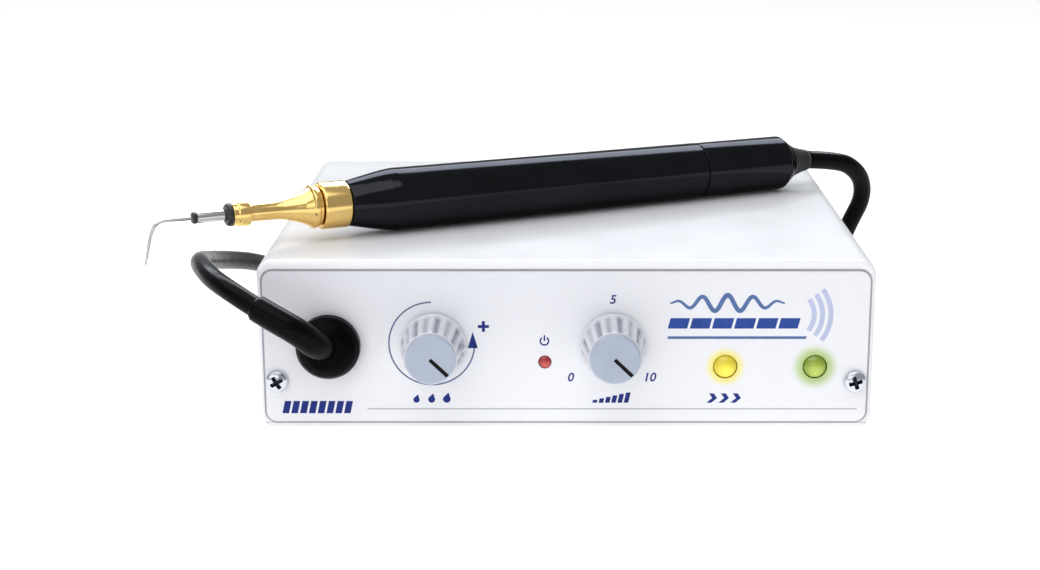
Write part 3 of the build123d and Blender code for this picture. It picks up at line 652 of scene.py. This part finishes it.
def add_cross_screw(bm, place, radius, height, shank):
    """Adds a pan-head screw whose driver recess is part of the mesh."""
    depth_layer = bm.verts.layers.float.get("depth") or bm.verts.layers.float.new("depth")
    rings, segments = 40, 128
    top = []
    for i in range(rings + 1):
        share = i / rings
        r = radius * share
        ring = []
        for s in range(segments if i else 1):
            angle = 2 * pi * s / segments
            y, z = r * sin(angle), r * cos(angle)
            dome = height * (1 - 0.45 * share**2.4 - 0.35 * (max(share - 0.85, 0) / 0.15) ** 2)
            arm = min(abs(y + z), abs(y - z)) / hypot(1, 1)  # distance from the cross's middle lines
            reach = 0.6 * radius
            wall = min(max((0.17 * radius - arm) / (0.05 * radius), 0), 1)
            end = min(max((reach - r) / (0.1 * radius), 0), 1)
            depth = max(0.85 * height * min(wall, end) * (1.1 - 0.5 * r / reach), 0)
            vert = bm.verts.new(place @ (Vector((0.05 + dome - depth, y, z)) * MM))
            # the share of depth is kept for the painted shade in the screw's recess
            vert[depth_layer] = depth / height
            ring.append(vert)
        top.append(ring)
    for one, two in zip(top, top[1:]):
        bridge(bm, one, two)
    last = top[-1]
    for along, r in ((0.05, radius), (0.05, shank), (-10, shank)):
        ring = []
        for s in range(segments):
            angle = 2 * pi * s / segments
            ring.append(bm.verts.new(place @ (Vector((along, r * sin(angle), r * cos(angle))) * MM)))
        bridge(bm, last, ring)
        last = ring
    bm.faces.new(last)


low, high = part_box("front_screws")
middle_z = (low.z + high.z) / 2
bm = bmesh.new()
for x, twist in ((low.x + SCREW_INSET * MM, 0.25), (high.x - SCREW_INSET * MM, 0.5)):
    place = axis_place(Vector((x, FACE_Y, middle_z)), (0, -1, 0)) @ Matrix.Rotation(twist, 4, "X")
    add_cross_screw(bm, place, SCREW_HEAD_R, SCREW_HEIGHT, SCREW_SHANK_R)
new_piece(
    "panel_screws", bm, MATERIALS["bright_screw"], body="case", slot="bright_screw",
    replaces=["front_screws"], sharp=30,
)

# ---------------------------------------------------------------- printed marks on the panel
INK_LIFT = 0.04  # the ink's front, out of the face
INK_SUNK = 0.02  # the ink's back, below the face


def add_mark(bm, outline):
    """Adds a thin solid of a flat outline of (across, up) points on the panel's face."""
    lifted = [from_case(x, -INK_LIFT, z) for x, z in outline]
    add_plate(bm, lifted, [from_case(x, INK_SUNK, z) for x, z in outline])


def stroke(points, width):
    """Outline of a line of that width along points, which may be one width for each point."""
    left, right = [], []
    for i, (x, z) in enumerate(points):
        ax, az = points[max(i - 1, 0)]
        bx, bz = points[min(i + 1, len(points) - 1)]
        size = hypot(bx - ax, bz - az)
        half = (width[i] if isinstance(width, list) else width) / 2
        left.append((x - (bz - az) / size * half, z + (bx - ax) / size * half))
        right.append((x + (bz - az) / size * half, z - (bx - ax) / size * half))
    return left + right[::-1]


def arc(x, z, radius, start, stop, steps=48):
    """Points of an arc, in degrees clockwise from straight up."""
    spots = []
    for s in range(steps + 1):
        angle = radians(start + (stop - start) * s / steps)
        spots.append((x + radius * sin(angle), z + radius * cos(angle)))
    return spots


def slanted(x, z, width, height, lean=0.22):
    """A slanted block that stands on z."""
    return [(x, z), (x + width, z), (x + width + lean * height, z + height), (x + lean * height, z + height)]


def print_marks(name, outlines, material):
    """One printed piece of several marks."""
    bm = bmesh.new()
    for outline in outlines:
        add_mark(bm, outline)
    new_piece(name, bm, material, body="case", slot="panel_film")


ARC_MIDDLE = (-43.6, 31.4)
ARC_RADIUS = 13.9
print_marks("print_water_arc", [stroke(arc(*ARC_MIDDLE, ARC_RADIUS, 0, -268, 120), 0.48)], ink_grey)
arrow = [(-31.95, 29.9), (-28.65, 29.9), (-30.3, 35.4)]
plus = [
    (-28.6, 36.7), (-27.3, 36.7), (-27.3, 35.4), (-26.3, 35.4), (-26.3, 36.7), (-25.0, 36.7),
    (-25.0, 37.7), (-26.3, 37.7), (-26.3, 39.0), (-27.3, 39.0), (-27.3, 37.7), (-28.6, 37.7),
]
print_marks("print_more_arrow", [arrow, plus], ink)


def drop(x, z, size):
    """A water drop that stands on z."""
    outline = [(x + 0.18 * size, z + size)]
    for degrees in range(60, 301, 20):
        a = radians(degrees)
        outline.append((x + 0.36 * size * sin(a), z + 0.36 * size + 0.36 * size * cos(a)))
    return outline


LABEL_Z = 11.3
drops = [drop(-48.9, LABEL_Z, 2.9), drop(-43.95, LABEL_Z, 3.2), drop(-39.0, LABEL_Z, 3.5)]
print_marks("print_water_drops", drops, ink)
bars = [slanted(8.6 + 2.05 * i, LABEL_Z, 1.5, 1.0 + 0.5 * i) for i in range(6)]
print_marks("print_power_bars", bars, ink)
chevrons = []
for i in range(3):
    x = 45.9 + 3.9 * i
    chevrons.append([
        (x, LABEL_Z), (x + 1.6, LABEL_Z), (x + 3.5, LABEL_Z + 1.6), (x + 2.4, LABEL_Z + 3.2),
        (x + 0.8, LABEL_Z + 3.2), (x + 1.9, LABEL_Z + 1.6),
    ])
print_marks("print_boost_chevrons", chevrons, ink)
blocks = [slanted(-92.9 + 2.88 * i, 7.7, 2.15, 4.2) for i in range(8)]
print_marks("print_corner_blocks", blocks, ink)
ring_middle = (-7.05, 32.3)
on_mark = [
    stroke(arc(*ring_middle, 1.35, 35, 325, 40), 0.5),
    stroke([(ring_middle[0], ring_middle[1]), (ring_middle[0], ring_middle[1] + 2.0)], 0.5),
]
print_marks("print_on_mark", on_mark, ink)
print_marks("print_rule", [stroke([(-65.0, 9.2), (95.2, 9.2)], 0.3)], ink_rule)

# a plain wave burst stands where the front carries its sign
WAVE_MIDDLE = 45.0
wave, wave_width = [], []
for i in range(241):
    share = i / 240
    swell = sin(pi * share) ** 0.8
    wave.append((33.6 + 37.0 * share, WAVE_MIDDLE + 2.7 * swell * sin(2 * pi * 4.5 * share)))
    wave_width.append(0.5 + 1.0 * swell)
print_marks("print_wave", [stroke(wave, wave_width)], ink_slate)
sign_bars = [slanted(32.9 + 7.15 * i, 36.5, 6.3, 3.5, 0.25) for i in range(6)]
print_marks("print_sign_bars", sign_bars, ink_blue)
print_marks("print_sign_rule", [slanted(32.8, 33.0, 45.0, 0.9)], ink_slate)
ripples = [stroke(arc(71.5, 41.0, r, 53, 127, 36), 1.6) for r in (8.7, 11.4, 14.1)]
print_marks("print_ripples", ripples, ink_pale)

for label, text, x, z in (("low", "0", 1.36, 19.9), ("middle", "5", 14.95, 46.1), ("high", "10", 27.1, 19.9)):
    curve = bpy.data.curves.new(label, "FONT")
    curve.body = text
    curve.size = 4.1 * MM
    curve.shear = 0.2
    curve.extrude = 0.02 * MM
    curve.offset = 0.07 * MM
    curve.align_x = "CENTER"
    curve.align_y = "CENTER"
    holder = bpy.data.objects.new(label, curve)
    bpy.context.scene.collection.objects.link(holder)
    bpy.context.view_layer.update()
    mesh = bpy.data.meshes.new_from_object(holder)
    bpy.data.objects.remove(holder)
    mesh.transform(Matrix.Translation(from_case(x, -0.02, z)) @ Matrix.Rotation(pi / 2, 4, "X"))
    bm = bmesh.new()
    bm.from_mesh(mesh)
    bmesh.ops.remove_doubles(bm, verts=bm.verts, dist=1e-7)
    new_piece(f"print_dial_{label}", bm, ink, body="case", slot="panel_film")

# ---------------------------------------------------------------- handpiece
HAND = axis_place(HAND_START, HAND_ALONG)
barrel = [
    (0, 6.25), (0, 7.6), (5, 8.7), (10, 9.7), (14, 10.4), (17, 10.75), (138.0, 10.2),
    (138.0, 8.9), (14, 8.9), (14, 6.25),
]
lathe(
    "handpiece_shell", HAND, soften(barrel, 0.5, 4, closed=True), MATERIALS["barrel_black"],
    segments=128, body="handpiece", slot="barrel_black", replaces=["handpiece_barrel"],
)
rear_cap = [
    (130.2, 6.5), (130.2, 8.8), (138.3, 8.8), (138.3, 10.1), (174, 10), (175.3, 9.1),
    (177, 7.8), (178.7, 6.7), (178.7, 2.2), (173, 2.2), (168, 6.5),
]
lathe(
    "handpiece_tail", HAND, soften(rear_cap, 0.35, 4, closed=True), MATERIALS["barrel_black"],
    segments=128, body="handpiece", slot="barrel_black", replaces=["handpiece_rear_cap"],
)
relief = [(178.75, 0), (178.75, 6.25)]
for i in range(8):
    start = 179.1 + 0.98 * i
    top = 6.2 - 0.42 * i + 0.018 * i * i
    relief += [(start, top), (start + 0.5, top - 0.2), (start + 0.62, top - 0.65), (start + 0.86, top - 0.75)]
relief += [(187.2, 3.8), (187.4, 3.5), (187.4, 0)]
lathe(
    "cord_relief_ribs", HAND, soften(relief, 0.08, 1), MATERIALS["nylon_black"],
    segments=72, body="handpiece", slot="nylon_black", replaces=["cord_relief"],
)

# ---------------------------------------------------------------- insert
collar = [
    (-9.9, 4.0), (-9.9, 7.7), (-9.4, 8.0), (-0.9, 8.0), (-0.4, 7.7), (-0.4, 6.17), (4.6, 6.17),
    (4.6, 5.0), (6.6, 5.0), (6.6, 6.17), (13, 6.17), (13, 4.0),
]
lathe(
    "insert_gold_collar", HAND, soften(collar, 0.25, 3, closed=True), MATERIALS["insert_gold"],
    segments=112, body="insert_collar", slot="insert_gold", replaces=["insert_collar"],
)
nose = [
    (-10.25, 2.85), (-10.25, 6.7), (-11.4, 6.7), (-11.6, 7.3), (-13, 7.3), (-13.4, 6.6),
    (-15.7, 5.4), (-19.1, 4.3), (-23.1, 3.3), (-25, 3.1), (-34.2, 3.1), (-34.6, 4.3),
    (-38.3, 4.3), (-38.7, 3.9), (-40.3, 3.9), (-40.3, 1.95), (-23, 1.95), (-22.1, 2.85),
]
lathe(
    "insert_gold_nose", HAND, soften(nose, 0.3, 3, closed=True), MATERIALS["insert_gold"],
    segments=112, body="insert", slot="insert_gold", replaces=["insert_nose"],
)
ring = [(-42.3, 1.95), (-42.3, 3.3), (-41.2, 3.95), (-40.4, 3.95), (-40.4, 1.95)]
lathe(
    "insert_black_ring", HAND, soften(ring, 0.3, 3, closed=True), MATERIALS["nose_black"],
    segments=80, body="insert", slot="nose_black", replaces=["nose_ring"],
)
spray = [(-52.2, 0.65), (-52.2, 1.7), (-52.05, 1.85), (-42.3, 1.85), (-42.1, 1.8), (-32, 1.8), (-32, 0.65)]
lathe(
    "insert_spray_tube", HAND, spray, MATERIALS["tip_steel"],
    segments=48, body="insert", slot="tip_steel", replaces=["spray_tube"],
)
seal = [(-53.7, 0.65), (-53.7, 1.6), (-53.3, 1.95), (-52.25, 1.95), (-52.25, 0.65)]
lathe(
    "insert_tip_seal", HAND, soften(seal, 0.15, 2, closed=True), MATERIALS["nose_black"],
    segments=48, body="insert", slot="nose_black", replaces=["tip_seal"],
)
TIP_ROUTE = [(-50, 0), (-60, 0), (-65.4, -0.2), (-67.4, -4), (-68.6, -9), (-69.6, -14)]
tip_line = centreline([HAND @ (Vector((u, 0, drop_z)) * MM) for u, drop_z in TIP_ROUTE], 10)
bm = bmesh.new()
add_tube(bm, tip_line, lambda share: 0.62 - 0.3 * max(share - 0.45, 0) / 0.55, segments=20, cap=0.8)
new_piece("scaling_tip", bm, MATERIALS["tip_steel"], body="insert", slot="tip_steel",
          replaces=["scaler_tip"])

# ---------------------------------------------------------------- floor and light
floor, tree, bsdf = shader("floor_paper")
tint = mix(tree, noise(tree, place_vector(tree), 0.4), (0.93, 0.93, 0.935), (0.95, 0.95, 0.95))
tree.links.new(tint, bsdf.inputs["Base Color"])
tree.links.new(tint, bsdf.inputs["Emission Color"])
bsdf.inputs["Emission Strength"].default_value = 0.5
bsdf.inputs["Roughness"].default_value = 0.75
bsdf.inputs["Specular IOR Level"].default_value = 0.2
bm = bmesh.new()
bmesh.ops.create_grid(bm, x_segments=8, y_segments=8, size=6)
ground = new_piece("floor", bm, floor)


def softbox(name, place, aim, width, depth, power, colour=(1, 1, 1), diffuse=True):
    """A rectangular area light aimed at a point. Without diffuse it only shows in reflections."""
    light = bpy.data.lights.new(name, "AREA")
    light.shape = "RECTANGLE"
    light.size, light.size_y, light.energy, light.color = width, depth, power, colour
    lamp = bpy.data.objects.new(name, light)
    lamp.location = place
    lamp.rotation_euler = (Vector(aim) - Vector(place)).to_track_quat("-Z", "Y").to_euler()
    lamp.visible_diffuse = diffuse
    bpy.context.scene.collection.objects.link(lamp)


softbox("rim", (-0.05, 0.95, 0.98), (0, 0.02, 0.05), 1.7, 0.7, 40, (0.88, 0.93, 1.0), diffuse=False)
softbox("overhead", (-0.3, -0.4, 1.25), (0, 0, 0), 1.8, 1.2, 12, (0.97, 0.985, 1.0))
softbox("front_fill", (-0.75, -1.5, 0.6), (0, 0, 0.03), 1.8, 0.7, 4.5, (1.0, 0.985, 0.96))

world = bpy.data.worlds.new("studio")
bpy.context.scene.world = world
world.use_nodes = True
tree = world.node_tree
direction = node(tree, "ShaderNodeTexCoord").outputs["Generated"]
up = node(tree, "ShaderNodeSeparateXYZ", {0: direction}).outputs["Z"]
sky = mix(tree, span(tree, up, 0, 1, 0.0, 0.35), (0.84, 0.85, 0.9), (0.96, 0.97, 1.0))
tree.links.new(sky, tree.nodes["Background"].inputs["Color"])
tree.nodes["Background"].inputs["Strength"].default_value = 0.42
bpy.context.scene.view_settings.view_transform = "Standard"
